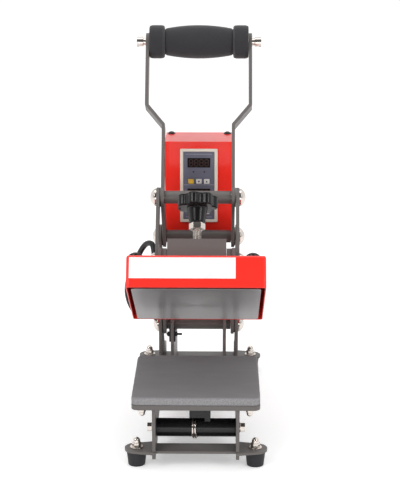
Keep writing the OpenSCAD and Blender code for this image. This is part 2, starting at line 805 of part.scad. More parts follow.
// A box with its open side down and its other edges rounded as folded sheet
module folded_box(w, h, r) {
  intersection() {
    translate([0, platen_mid, cover_z - 1]) linear_extrude(h + 1) rounded(w, w, r);
    translate([0, platen_mid, cover_z]) rotate([90, 0, 0]) linear_extrude(w, center = true) lid(w, h, r);
    translate([0, platen_mid, cover_z]) rotate([90, 0, 90]) linear_extrude(w, center = true) lid(w, h, r);
  }
}

// The same box seen from the side: the upper corners round, one more millimetre below
module lid(w, h, r) {
  intersection() {
    translate([0, h / 2 - r]) rounded(w, h + 2 * r, r);
    translate([-w / 2, -1]) square([w, h + 1]);
  }
}

module heater_cover() {
  color([0.86, 0.12, 0.08]) lifted() difference() {
    union() {
      difference() {
        folded_box(cover_w, cover_h, fold_r);
        folded_box(cover_w - 2 * cover_wall, cover_h - cover_wall, fold_r - cover_wall);
      }
      translate([0, screw_y, cover_top - 9]) cylinder(d = 22, h = 8);
    }
    translate([0, screw_y, cover_top - 8]) cylinder(d = stud_d + 2 * run_gap, h = 20);
    at_cover_studs() translate([0, 0, cover_top - 5]) cylinder(d = 6.2, h = 10);
    translate([gland_at[0], gland_at[1], cover_top - 5]) cylinder(d = 10.1, h = 10);
  }
}
module heater_plate() {
  color("silver") lifted() difference() {
    translate([0, platen_mid, heater_z]) linear_extrude(heater_t) rounded(platen, platen, 4);
    at_cover_studs() translate([0, 0, heater_z + heater_t - 7]) cylinder(d = 6.1, h = 10);
  }
}
module insulation_pad() {
  air_gap = 14;
  pad_h = cover_h - heater_t - air_gap;
  color([0.85, 0.83, 0.78]) lifted() difference() {
    translate([0, platen_mid, heater_z + heater_t]) linear_extrude(pad_h) rounded(platen, platen, 4);
    at_cover_studs() cylinder(d = 7, h = 200);
  }
}
// Black domed caps on the cover's corners, on the studs that hold the plate
module cover_studs() {
  color([0.06, 0.06, 0.07]) lifted() at_cover_studs() {
    translate([0, 0, heater_z + heater_t - 6]) cylinder(d = 6, h = cover_top - heater_z - heater_t + 8);
    translate([0, 0, cover_top]) intersection() {
      cylinder(d = 16, h = 8);
      translate([0, 0, -3]) sphere(r = 11);
    }
  }
}
module cable_gland() {
  color([0.06, 0.06, 0.07]) lifted() translate([gland_at[0], gland_at[1], cover_top]) {
    difference() {
      union() {
        translate([0, 0, -3]) cylinder(d = 10, h = 3);
        cylinder(d = 13, h = 4);
        translate([0, 0, 4]) cylinder(d1 = 12, d2 = 9.5, h = gland_h - 4);
      }
      translate([0, 0, -4]) cylinder(d = cable_d - 1, h = 14);
    }
  }
}

// Heater cable: from the gland over and round the cover's left rear corner, then
// through the left brace's window and up into the floor of the control box
cable_d = 7;
gland_at = [-54, -62];
gland_h = 12;
grommet_at = [-12, 101];
grommet_d = 12;
grommet_t = 3;
straight = 8;
gland_tip = turned([gland_at[1], cover_top + gland_h + screw_travel], pivot_a, -open_angle);
gland_dir = [0, sin(open_angle), cos(open_angle)];
gland_end = [gland_at[0], gland_tip[0], gland_tip[1]];
grommet_end = [grommet_at[0], grommet_at[1], box_z - grommet_t];
cable_points = concat([gland_end + straight * gland_dir], [
  [-54, -17, 214], [-57, -8, 226], [-66, 2, 223], [-76, 8, 206], [-85, 11, 185], [-90, 12, 163],
  [-87, 13, 143], [-78, 20, 127], [-68, 42, 117], [-60, 62, 116], [-56, 80, 124], [-48, 92, 142],
  [-33, 97, 156], [-19, 100, 173], [-12, 101, 190]], [grommet_end - [0, 0, straight]]);
function catmull(p, i, t) = let (a = p[max(i - 1, 0)], b = p[i], c = p[i + 1], d = p[min(i + 2, len(p) - 1)])
  0.5 * (2 * b + (c - a) * t + (2 * a - 5 * b + 4 * c - d) * t * t + (3 * b - a - 3 * c + d) * t * t * t);
function smooth(p, n) =
  concat([for (i = [0 : len(p) - 2], k = [0 : n - 1]) catmull(p, i, k / n)], [p[len(p) - 1]]);
cable_path = concat([gland_end], smooth(cable_points, 3), [grommet_end]);
function run(p, i = 1) = i >= len(p) ? 0 : norm(p[i] - p[i - 1]) + run(p, i + 1);
echo(cable_length = run(cable_path));
module heater_cable() { color([0.05, 0.05, 0.06]) tube(cable_path, cable_d / 2, 8); }

front_cross_plate();
rear_cross_plate();
rubber_feet();
foot_bolts();
foot_nuts();
side_frame_left();
side_frame_right();
inner_brace_left();
inner_brace_right();
tie_tube();
tie_bolts();
split_ring();
saddle_block();
lower_platen();
foam_pad();
platen_studs();
frame_shafts();
frame_spacers();
frame_caps();
limit_switch();
control_box();
box_back();
box_screws();
box_grommet();
controller_body();
controller_panel();
display_windows();
set_button();
down_button();
up_button();
timer_set_button();
timer_down_button();
timer_up_button();
power_inlet();
power_rocker();
handle_arm_left();
handle_arm_right();
upper_spacer();
handle_core();
handle_grip();
handle_bolts();
link_left();
link_right();
link_shafts();
link_caps();
arm_left();
arm_right();
arm_bridge();
pressure_block();
pressure_stud();
lock_nut();
pressure_knob();
heater_cover();
heater_plate();
insulation_pad();
cover_studs();
cable_gland();
heater_cable();
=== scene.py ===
"""Bench heat press with a raised, tilted heater, seen from the front and a little above."""
import json
import math

import bmesh
import bpy
from mathutils import Matrix, Vector, noise


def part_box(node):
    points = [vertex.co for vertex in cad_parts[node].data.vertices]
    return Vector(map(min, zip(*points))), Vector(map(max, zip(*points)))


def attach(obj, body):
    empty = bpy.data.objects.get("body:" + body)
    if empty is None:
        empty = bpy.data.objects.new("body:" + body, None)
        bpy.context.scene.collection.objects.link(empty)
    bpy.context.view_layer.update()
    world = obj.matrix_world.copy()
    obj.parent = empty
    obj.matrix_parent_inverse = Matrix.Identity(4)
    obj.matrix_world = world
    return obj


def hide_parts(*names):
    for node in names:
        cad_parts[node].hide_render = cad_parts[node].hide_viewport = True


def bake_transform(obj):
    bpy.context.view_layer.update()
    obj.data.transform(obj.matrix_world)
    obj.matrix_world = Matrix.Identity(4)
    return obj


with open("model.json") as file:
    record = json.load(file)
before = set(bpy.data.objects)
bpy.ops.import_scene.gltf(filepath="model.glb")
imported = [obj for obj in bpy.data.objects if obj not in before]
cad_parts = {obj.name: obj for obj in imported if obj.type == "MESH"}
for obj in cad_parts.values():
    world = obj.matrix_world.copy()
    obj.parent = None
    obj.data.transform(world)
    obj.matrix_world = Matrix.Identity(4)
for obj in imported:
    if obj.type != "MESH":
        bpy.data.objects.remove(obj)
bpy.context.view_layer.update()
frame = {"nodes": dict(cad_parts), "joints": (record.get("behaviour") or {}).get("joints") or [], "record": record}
MM = 0.001
NODES = frame["nodes"]

# Camera and light

CAMERA_AT = Vector((0.028, -1.810, 0.712))
CAMERA_PITCH = 15.3
CAMERA_TURN = 0.81
LENS = 135.0
SENSOR = 36.0
FAR_CLIP = 50
# Name, place, aim, size and power of each lamp
LAMPS = (
    ("key", (-1.5, -1.7, 1.9), (0, 0, 0.22), (0.9, 1.1), 17),
    ("fill", (1.6, -1.5, 1.5), (0, 0, 0.22), (0.7, 1.3), 11.5),
    ("low", (0, -2.4, 0.35), (0, 0, 0.2), (2.0, 0.35), 6.5),
    ("top", (0, 0.1, 2.4), (0, 0, 0.2), (1.6, 1.2), 9),
)
WORLD_LIGHT = 0.66
# The room as bright metal shows it: dim below the first value of Y, white above the second
ROOM_EDGES = (-0.75, 0.25)
ROOM_DIM = 0.10
FLOOR_HALF = 12
FLOOR_TONE = 0.93
FLOOR_GLOW = 0.34


def make_camera():
    data = bpy.data.cameras.new("camera")
    data.sensor_fit = "HORIZONTAL"
    data.sensor_width = SENSOR
    data.lens = LENS
    data.clip_end = FAR_CLIP
    camera = bpy.data.objects.new("camera", data)
    camera.location = CAMERA_AT
    camera.rotation_euler = (math.radians(90 - CAMERA_PITCH), 0, math.radians(CAMERA_TURN))
    bpy.context.scene.collection.objects.link(camera)
    bpy.context.scene.camera = camera


def area_light(name, at, aim, size, power):
    data = bpy.data.lights.new(name, "AREA")
    data.shape = "RECTANGLE"
    data.size, data.size_y = size
    data.energy = power
    light = bpy.data.objects.new(name, data)
    light.location = at
    light.rotation_euler = (Vector(aim) - Vector(at)).to_track_quat("-Z", "Y").to_euler()
    bpy.context.scene.collection.objects.link(light)


def background_rays(nodes, links):
    """1 for the rays of the camera and of gloss and glass, 0 for those that light a surface."""
    path = nodes.new("ShaderNodeLightPath")
    seen = path.outputs["Is Camera Ray"]
    for other in ("Is Glossy Ray", "Is Transmission Ray"):
        either = nodes.new("ShaderNodeMath")
        either.operation = "MAXIMUM"
        links.new(seen, either.inputs[0])
        links.new(path.outputs[other], either.inputs[1])
        seen = either.outputs[0]
    return seen


def make_world():
    """Plain white to the camera. Bright metal shows white behind the bench and a dim room before it."""
    world = bpy.data.worlds.new("studio")
    bpy.context.scene.world = world
    world.use_nodes = True
    nodes, links = world.node_tree.nodes, world.node_tree.links
    back = nodes["Background"]
    coords = nodes.new("ShaderNodeTexCoord")
    split = nodes.new("ShaderNodeSeparateXYZ")
    links.new(coords.outputs["Generated"], split.inputs["Vector"])
    room = nodes.new("ShaderNodeMapRange")
    room.interpolation_type = "SMOOTHSTEP"
    room.inputs["From Min"].default_value, room.inputs["From Max"].default_value = ROOM_EDGES
    room.inputs["To Min"].default_value = ROOM_DIM
    room.inputs["To Max"].default_value = 1.0
    links.new(split.outputs["Y"], room.inputs["Value"])
    shown = nodes.new("ShaderNodeMix")
    shown.inputs["A"].default_value = WORLD_LIGHT
    links.new(room.outputs["Result"], shown.inputs["B"])
    links.new(background_rays(nodes, links), shown.inputs["Factor"])
    path = nodes.new("ShaderNodeLightPath")
    strength = nodes.new("ShaderNodeMix")
    strength.inputs["B"].default_value = 1.0
    links.new(shown.outputs["Result"], strength.inputs["A"])
    links.new(path.outputs["Is Camera Ray"], strength.inputs["Factor"])
    links.new(strength.outputs["Result"], back.inputs["Strength"])
    back.inputs["Color"].default_value = (1, 1, 1, 1)


def make_floor():
    bm = bmesh.new()
    bmesh.ops.create_grid(bm, x_segments=1, y_segments=1, size=FLOOR_HALF)
    mesh = bpy.data.meshes.new("floor")
    bm.to_mesh(mesh)
    bm.free()
    floor = bpy.data.objects.new("floor", mesh)
    bpy.context.scene.collection.objects.link(floor)
    mat = bpy.data.materials.new("floor")
    mat.use_nodes = True
    nodes, links = mat.node_tree.nodes, mat.node_tree.links
    surface = nodes["Principled BSDF"]
    surface.inputs["Base Color"].default_value = (FLOOR_TONE, FLOOR_TONE, FLOOR_TONE, 1)
    surface.inputs["Roughness"].default_value = 0.35
    surface.inputs["Specular IOR Level"].default_value = 0.12
    surface.inputs["Emission Color"].default_value = (1, 1, 1, 1)
    glow = nodes.new("ShaderNodeMath")
    glow.operation = "MULTIPLY"
    glow.inputs[1].default_value = FLOOR_GLOW
    links.new(background_rays(nodes, links), glow.inputs[0])
    links.new(glow.outputs[0], surface.inputs["Emission Strength"])
    floor.data.materials.append(mat)


bpy.context.scene.view_settings.view_transform = "Standard"
make_camera()
make_world()
make_floor()
for lamp in LAMPS:
    area_light(*lamp)

# Materials


class Paint:
    """A node material with object coordinates in metres."""

    def __init__(self, name, rough=0.5, metal=0.0, coat=0.0, specular=0.5):
        self.mat = bpy.data.materials.new(name)
        self.mat.use_nodes = True
        self.nodes = self.mat.node_tree.nodes
        self.links = self.mat.node_tree.links
        self.surface = self.nodes["Principled BSDF"]
        self.surface.inputs["Roughness"].default_value = rough
        self.surface.inputs["Metallic"].default_value = metal
        self.surface.inputs["Coat Weight"].default_value = coat
        self.surface.inputs["Specular IOR Level"].default_value = specular
        self.coords = self.nodes.new("ShaderNodeTexCoord").outputs["Object"]

    def stretched(self, scale):
        node = self.nodes.new("ShaderNodeMapping")
        node.inputs["Scale"].default_value = scale
        self.links.new(self.coords, node.inputs["Vector"])
        return node.outputs["Vector"]

    def noise(self, scale, detail=3.0, stretch=None, rough=0.55):
        node = self.nodes.new("ShaderNodeTexNoise")
        node.inputs["Scale"].default_value = scale
        node.inputs["Detail"].default_value = detail
        node.inputs["Roughness"].default_value = rough
        self.links.new(self.stretched(stretch) if stretch else self.coords, node.inputs["Vector"])
        return node.outputs["Fac"]

    def cells(self, scale, stretch=None):
        node = self.nodes.new("ShaderNodeTexVoronoi")
        node.inputs["Scale"].default_value = scale
        self.links.new(self.stretched(stretch) if stretch else self.coords, node.inputs["Vector"])
        return node.outputs["Distance"]

    def ramp(self, fac, low, high, start=0.3, stop=0.7):
        node = self.nodes.new("ShaderNodeValToRGB")
        first, last = node.color_ramp.elements
        first.position, last.position = start, stop
        first.color, last.color = (*low, 1), (*high, 1)
        self.links.new(fac, node.inputs["Fac"])
        return node.outputs["Color"]

    def mix(self, fac, a, b):
        node = self.nodes.new("ShaderNodeMix")
        node.data_type = "RGBA"
        self.links.new(fac, node.inputs[0])
        self.links.new(a, node.inputs[6])
        self.links.new(b, node.inputs[7])
        return node.outputs[2]

    def spread(self, fac, low, high):
        node = self.nodes.new("ShaderNodeMapRange")
        node.inputs["To Min"].default_value = low
        node.inputs["To Max"].default_value = high
        self.links.new(fac, node.inputs["Value"])
        return node.outputs["Result"]

    def color(self, socket):
        self.links.new(socket, self.surface.inputs["Base Color"])

    def roughness(self, fac, low, high):
        self.links.new(self.spread(fac, low, high), self.surface.inputs["Roughness"])

    def bump(self, *heights):
        """Each height is (socket, strength, distance in metres)."""
        normal = None
        for fac, strength, distance in heights:
            node = self.nodes.new("ShaderNodeBump")
            node.inputs["Strength"].default_value = strength
            node.inputs["Distance"].default_value = distance
            self.links.new(fac, node.inputs["Height"])
            if normal:
                self.links.new(normal, node.inputs["Normal"])
            normal = node.outputs["Normal"]
        self.links.new(normal, self.surface.inputs["Normal"])

    def upward(self):
        """1 on faces that look up, 0 on upright ones."""
        geometry = self.nodes.new("ShaderNodeNewGeometry")
        split = self.nodes.new("ShaderNodeSeparateXYZ")
        self.links.new(geometry.outputs["Normal"], split.inputs["Vector"])
        node = self.nodes.new("ShaderNodeMapRange")
        node.inputs["From Min"].default_value = 0.3
        node.inputs["From Max"].default_value = 0.8
        self.links.new(split.outputs["Z"], node.inputs["Value"])
        return node.outputs["Result"]


def shade(color, factor):
    return tuple(min(1.0, c * factor) for c in color)


def powder_coat(name, color, rough, fleck=0.12, coat=0.0, specular=0.4):
    """Sprayed coat: fine orange peel, a faint fleck and slow drift of tone."""
    paint = Paint(name, rough, 0.0, coat, specular)
    paint.surface.inputs["Coat Roughness"].default_value = 0.12
    slow = paint.noise(9, 2)
    fine = paint.noise(1500, 2)
    tone = paint.ramp(slow, shade(color, 0.95), shade(color, 1.05))
    grain = paint.ramp(fine, shade(color, 1 - fleck), shade(color, 1 + fleck), 0.35, 0.65)
    paint.color(paint.mix(paint.spread(slow, 0.4, 0.6), tone, grain))
    paint.roughness(paint.noise(60, 3), rough - 0.05, rough + 0.07)
    paint.bump((fine, 0.12, 0.0002), (paint.noise(350, 2), 0.10, 0.0004))
    return paint.mat


def bright_metal(name, color, rough):
    """Plated or turned metal with faint smears."""
    paint = Paint(name, rough, 1.0)
    smears = paint.noise(130, 4)
    paint.color(paint.ramp(smears, shade(color, 0.88), color))
    paint.roughness(smears, rough - 0.06, rough + 0.10)
    paint.bump((paint.noise(900, 2), 0.05, 0.0001))
    return paint.mat


def moulded(name, color, rough, grain=0.08, coat=0.0, specular=0.5):
    """Moulded plastic or rubber with a fine eroded grain."""
    paint = Paint(name, rough, 0.0, coat, specular)
    slow = paint.noise(40, 3)
    paint.color(paint.ramp(slow, shade(color, 0.9), shade(color, 1.1)))
    paint.roughness(slow, rough - 0.04, rough + 0.06)
    paint.bump((paint.noise(1800, 2), grain, 0.0002))
    return paint.mat


def brushed_plate(name, color):
    """Cast plate ground in one direction."""
    paint = Paint(name, 0.30, 1.0)
    paint.surface.inputs["Anisotropic"].default_value = 0.5
    lines = paint.noise(14, 6, (3, 260, 3), 0.7)
    blotch = paint.noise(16, 3)
    grind = paint.ramp(lines, shade(color, 0.82), shade(color, 1.08))
    patches = paint.ramp(blotch, shade(color, 0.9), color)
    paint.color(paint.mix(paint.spread(blotch, 0.2, 0.5), grind, patches))
    paint.roughness(lines, 0.24, 0.38)
    paint.bump((lines, 0.08, 0.0002))
    return paint.mat


def sponge(name, top, side):
    """Silicone sponge: a closed skin on top, and cut cells on its edges."""
    paint = Paint(name, 0.82, 0.0, 0.0, 0.3)
    cells = paint.cells(900)
    fine = paint.noise(700, 5)
    streak = paint.noise(30, 4, (1, 3, 1))
    specks = paint.ramp(fine, shade(top, 0.93), shade(top, 1.05))
    drift = paint.ramp(streak, shade(top, 0.92), shade(top, 1.06))
    skin = paint.mix(paint.spread(streak, 0.2, 0.8), specks, drift)
    cut = paint.ramp(cells, shade(side, 0.62), shade(side, 1.25), 0.1, 0.55)
    paint.color(paint.mix(paint.upward(), cut, skin))
    paint.bump((cells, 0.25, 0.0004), (fine, 0.15, 0.0003))
    return paint.mat


def foam_rubber(name, color):
    """Soft closed-cell foam of a hand grip."""
    paint = Paint(name, 0.9, 0.0, 0.0, 0.35)
    paint.surface.inputs["Sheen Weight"].default_value = 0.25
    paint.surface.inputs["Sheen Roughness"].default_value = 0.5
    fine = paint.noise(1100, 4)
    slow = paint.noise(45, 3, (0.4, 1, 1))
    specks = paint.ramp(fine, shade(color, 0.7), shade(color, 1.35))
    drift = paint.ramp(slow, shade(color, 0.85), shade(color, 1.15))
    paint.color(paint.mix(paint.spread(slow, 0.3, 0.7), specks, drift))
    paint.bump((fine, 0.35, 0.0003), (paint.cells(1500), 0.2, 0.0002))
    return paint.mat


def wool(name, color):
    paint = Paint(name, 0.95, 0.0)
    fibres = paint.noise(400, 6, (1, 1, 4))
    paint.color(paint.ramp(fibres, shade(color, 0.75), shade(color, 1.1)))
    paint.bump((fibres, 0.5, 0.0006))
    return paint.mat


GUNMETAL = (0.134, 0.122, 0.117)
MATERIALS = {
    "frame_steel": powder_coat("gunmetal_frame", GUNMETAL, 0.42),
    "brace_steel": powder_coat("gunmetal_brace", shade(GUNMETAL, 1.2), 0.42),
    "lever_steel": powder_coat("gunmetal_lever", shade(GUNMETAL, 1.05), 0.40),
    "bright_steel": bright_metal("nickel", (0.74, 0.68, 0.63), 0.12),
    "rubber": moulded("rubber", (0.020, 0.020, 0.023), 0.55, 0.2, 0.0, 0.35),
    "black_satin": powder_coat("satin_black", (0.008, 0.008, 0.009), 0.25, 0.1, 0.0, 0.4),
    "pad_foam": sponge("silicone_sponge", (0.215, 0.207, 0.213), (0.25, 0.244, 0.25)),
    "grip_foam": foam_rubber("grip_foam", (0.029, 0.028, 0.032)),
    "red_paint": powder_coat("red_coat", (0.93, 0.024, 0.013), 0.34, 0.04, 0.45, 0.25),
    "black_plastic": moulded("black_plastic", (0.015, 0.015, 0.017), 0.45, 0.08, 0.0, 0.35),
    "knob_plastic": moulded("knob_plastic", (0.006, 0.006, 0.007), 0.20, 0.02, 0.0, 0.4),
    "cream_plastic": moulded("cream_plastic", (0.84, 0.76, 0.66), 0.45, 0.05),
    "panel_plastic": moulded("panel_film", (0.150, 0.155, 0.205), 0.42, 0.03, 0.0, 0.3),
    "display_plastic": moulded("display_window", (0.012, 0.008, 0.008), 0.12, 0.0, 0.0, 0.3),
    "yellow_key": moulded("yellow_key", (0.84, 0.52, 0.07), 0.4, 0.04),
    "white_key": moulded("white_key", (0.82, 0.82, 0.80), 0.4, 0.04),
    "rocker_plastic": moulded("rocker_plastic", (0.45, 0.015, 0.012), 0.22, 0.02, 0.3),
    "heater_alloy": brushed_plate("heater_alloy", (0.30, 0.29, 0.295)),
    "insulation": wool("insulation", (0.75, 0.72, 0.65)),
}
CABLE_SLEEVE = moulded("cable_sleeve", (0.012, 0.012, 0.014), 0.34, 0.06, 0.0, 0.4)
WHITE_PLATE = moulded("white_plate", (0.93, 0.93, 0.93), 0.35, 0.01)
GHOST_SEGMENT = moulded("ghost_segment", (0.050, 0.022, 0.018), 0.3, 0.0)
INK = moulded("ink", (0.03, 0.03, 0.045), 0.5, 0.0)
RULE = moulded("printed_rule", (0.42, 0.43, 0.52), 0.5, 0.0)
LAMP_LENS = moulded("lamp_lens", (0.05, 0.02, 0.025), 0.2, 0.0, 0.4)

SLOT_OF = {part["node"]: part["material_slot"] for part in frame["record"]["subparts"]}
# Width of the broken edges in millimetres, by material slot, and of all the others
EDGE = {"bright_steel": 0.3, "red_paint": 0.6, "frame_steel": 0.4, "brace_steel": 0.4, "lever_steel": 0.4,
        "heater_alloy": 0.6, "knob_plastic": 0.9, "cream_plastic": 0.5, "white_key": 0.4, "yellow_key": 0.4,
        "rubber": 0.6, "black_satin": 0.4}
FINE_EDGE = 0.2
EDGE_STEPS = 2
FLAT_FIRST = 80
# Nodes of several solids that lie against each other, whose faces can't be merged
KEPT_PLAIN = ("front_cross_plate", "rear_cross_plate")
SHARP = math.radians(34)
FLAT = math.radians(0.2)
SAME_POINT = 0.00001


def soften_edges(node, width):
    """Joins the shell's points, merges its flat faces, breaks its edges and shades it evenly."""
    normals = node.data.attributes.get("custom_normal")
    if normals:
        node.data.attributes.remove(normals)
    for face in node.data.polygons:
        face.use_smooth = True
    weld = node.modifiers.new("join", "WELD")
    weld.merge_threshold = SAME_POINT
    flats = node.modifiers.new("flats", "DECIMATE")
    flats.decimate_type = "DISSOLVE"
    flats.angle_limit = FLAT
    bevel = node.modifiers.new("edge", "BEVEL")
    bevel.width = width * MM
    bevel.segments = EDGE_STEPS
    bevel.limit_method = "ANGLE"
    bevel.angle_limit = SHARP
    bevel.use_clamp_overlap = False
    even = node.modifiers.new("even", "WEIGHTED_NORMAL")
    even.weight = FLAT_FIRST


def dress_nodes():
    """Gives each solid its material, smooth shading and a fine broken edge."""
    for name, node in NODES.items():
        slot = SLOT_OF[name]
        node.data.materials.clear()
        node.data.materials.append(MATERIALS[slot])
        if name not in KEPT_PLAIN:
            soften_edges(node, EDGE.get(slot, FINE_EDGE))


dress_nodes()

# Mesh helpers


def new_piece(name, bm, material, body, smooth=True):
    bmesh.ops.recalc_face_normals(bm, faces=bm.faces)
    mesh = bpy.data.meshes.new(name)
    bm.to_mesh(mesh)
    bm.free()
    mesh.materials.append(material)
    for face in mesh.polygons:
        face.use_smooth = smooth
    piece = bpy.data.objects.new(name, mesh)
    bpy.context.scene.collection.objects.link(piece)
    if body:
        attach(piece, body)
    return piece


def rings_to_faces(bm, rings, close_ends=True):
    count = len(rings[0])
    for lower, upper in zip(rings, rings[1:]):
        for k in range(count):
            m = (k + 1) % count
            bm.faces.new((lower[k], lower[m], upper[m], upper[k]))
    if close_ends:
        bm.faces.new(list(reversed(rings[0])))
        bm.faces.new(rings[-1])


def sweep(bm, points, radius, sides):
    """A round tube along the points, with no twist."""
    rings = []
    side = None
    for i, point in enumerate(points):
        ahead = points[min(i + 1, len(points) - 1)]
        behind = points[max(i - 1, 0)]
        way = (ahead - behind).normalized()
        if side is None:
            side = way.cross(Vector((0, 0, 1)) if abs(way.z) < 0.9 else Vector((1, 0, 0)))
        side = (side - way * side.dot(way)).normalized()
        other = way.cross(side)
        turns = [2 * math.pi * k / sides for k in range(sides)]
        around = [math.cos(a) * side + math.sin(a) * other for a in turns]
        rings.append([bm.verts.new(point + radius * out) for out in around])
    rings_to_faces(bm, rings)


def box_between(bm, low, high):
    low, high = Vector(low), Vector(high)
    for vert in bmesh.ops.create_cube(bm, size=1)["verts"]:
        vert.co = Vector(low[i] + (vert.co[i] + 0.5) * (high[i] - low[i]) for i in range(3))


def lathe(bm, profile, matrix, sides):
    """Turns (radius, height) points round the matrix's Z axis, open at a bore."""
    rings = []
    for radius, height in profile:
        turns = [2 * math.pi * k / sides for k in range(sides)]
        rings.append([bm.verts.new(matrix @ Vector((radius * math.cos(a), radius * math.sin(a), height)))
                      for a in turns])
    rings_to_faces(bm, rings, False)
    return rings


def eased(corners, steps=5):
    """An open line of (x, y, radius) corners, with each corner rounded over its radius."""
    line = [Vector(corners[0][:2])]
    for before, corner, after in zip(corners, corners[1:], corners[2:]):
        at = Vector(corner[:2])
        if corner[2] <= 0:
            line.append(at)
            continue
        start = at + (Vector(before[:2]) - at).normalized() * corner[2]
        stop = at + (Vector(after[:2]) - at).normalized() * corner[2]
        for i in range(steps + 1):
            t = i / steps
            line.append(start * (1 - t) ** 2 + at * 2 * t * (1 - t) + stop * t * t)
    line.append(Vector(corners[-1][:2]))
    return line


def rounded_square(half, radius, count):
    """Points round a square with round corners, about evenly spaced."""
    points = []
    per_corner = count // 8
    per_side = count // 4 - per_corner
    for quarter in range(4):
        turn = math.pi / 2 * quarter
        c, s = math.cos(turn), math.sin(turn)
        local = [(half, -half + radius + 2 * (half - radius) * i / per_side) for i in range(per_side)]
        for i in range(per_corner):
            a = math.pi / 2 * i / per_corner
            local.append((half - radius + radius * math.cos(a), half - radius + radius * math.sin(a)))
        points += [(x * c - y * s, x * s + y * c) for x, y in local]
    return points


SLAB_POINTS = 240
SLAB_RINGS = 26
LEAST_CORNER = 0.0005


def slab(bm, half, radius, profile, matrix, wobble):
    """A cushion-like plate: (inset, height) rings round a rounded square, closed by shrinking rings."""
    rings = []

    def add_ring(outline, share, height):
        places = [wobble(Vector((x * share, y * share, height))) for x, y in outline]
        rings.append([bm.verts.new(matrix @ place) for place in places])

    for inset, height in profile:
        outline = rounded_square(half - inset, max(radius - inset, LEAST_CORNER), SLAB_POINTS)
        add_ring(outline, 1, height)
    for part in range(SLAB_RINGS - 1, 0, -1):
        add_ring(outline, part / SLAB_RINGS, height)
    rings_to_faces(bm, rings)


# Places taken from the frame

JOINTS = {joint["name"]: joint for joint in frame["joints"]}
HEAD_UP = Vector(JOINTS["head_slide"]["axis"]).normalized()
OPEN_ANGLE = math.atan2(HEAD_UP.y, HEAD_UP.z)
ARM_AT = Vector(JOINTS["arm_pivot"]["pos_m"])
OPENED = Matrix.Translation(ARM_AT) @ Matrix.Rotation(-OPEN_ANGLE, 4, "X") @ Matrix.Translation(-ARM_AT)
SHUT = OPENED.inverted()


def shut_box(node):
    """The corners of a node as it lies when the press is shut, before OPENED turns it up."""
    points = [SHUT @ vert.co for vert in NODES[node].data.vertices]
    return (Vector([min(p[i] for p in points) for i in range(3)]),
            Vector([max(p[i] for p in points) for i in range(3)]))


# Foam pieces: the pad, the grip and the wool inside the heater


PAD_CORNER = 8 * MM
PAD_EDGE = 2.6 * MM
WOOL_CORNER = 4 * MM
GRIP_RADIUS = 21 * MM
GRIP_WAISTED = 4.2 * MM
GRIP_COLLAR = 19 * MM
GRIP_GROOVE = 1.3 * MM
GRIP_SIDES = 96


def ripple(point, size, height):
    return noise.noise(point * size) * height


def make_pad():
    low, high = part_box("foam_pad")
    middle = (low + high) / 2
    half = (high.x - low.x) / 2
    thick = high.z - low.z
    profile = [(0.9 * MM, 0), (0.25 * MM, 0.8 * MM), (0.25 * MM, thick * 0.35), (0.15 * MM, thick * 0.55)]
    for i in range(7):
        a = math.pi / 2 * i / 6
        inset = 0.15 * MM + PAD_EDGE * (1 - math.cos(a))
        profile.append((inset, thick - 0.1 * MM - PAD_EDGE * (1 - math.sin(a))))

    def wobble(p):
        out = Vector((p.x, p.y, 0)).normalized()
        side = 1 - min(1, max(0, (half - max(abs(p.x), abs(p.y))) / PAD_EDGE))
        p = p + out * side * (ripple(p, 260, 0.16 * MM) + ripple(p, 60, 0.12 * MM))
        if p.z > thick * 0.5:
            p.z -= 0.09 * MM + ripple(p, 22, 0.09 * MM)
        return p

    bm = bmesh.new()
    slab(bm, half, PAD_CORNER, profile, Matrix.Translation((middle.x, middle.y, low.z)), wobble)
    pad = new_piece("sponge_pad", bm, MATERIALS["pad_foam"], "root")
    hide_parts("foam_pad")


def make_wool():
    low, high = shut_box("insulation_pad")
    middle = (low + high) / 2
    thick = high.z - low.z
    profile = [(1.2 * MM, 0.2 * MM), (0.5 * MM, 1.2 * MM), (0.6 * MM, thick * 0.5),
               (0.5 * MM, thick - 1.4 * MM), (1.6 * MM, thick - 0.4 * MM)]

    def wobble(p):
        out = Vector((p.x, p.y, 0)).normalized()
        return p - out * (0.25 * MM + ripple(p, 140, 0.25 * MM)) + Vector((0, 0, ripple(p, 90, 0.18 * MM)))

    bm = bmesh.new()
    place = OPENED @ Matrix.Translation((middle.x, middle.y, low.z))
    slab(bm, (high.x - low.x) / 2, WOOL_CORNER, profile, place, wobble)
    wool_pad = new_piece("wool_pad", bm, MATERIALS["insulation"], "head")
    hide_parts("insulation_pad")


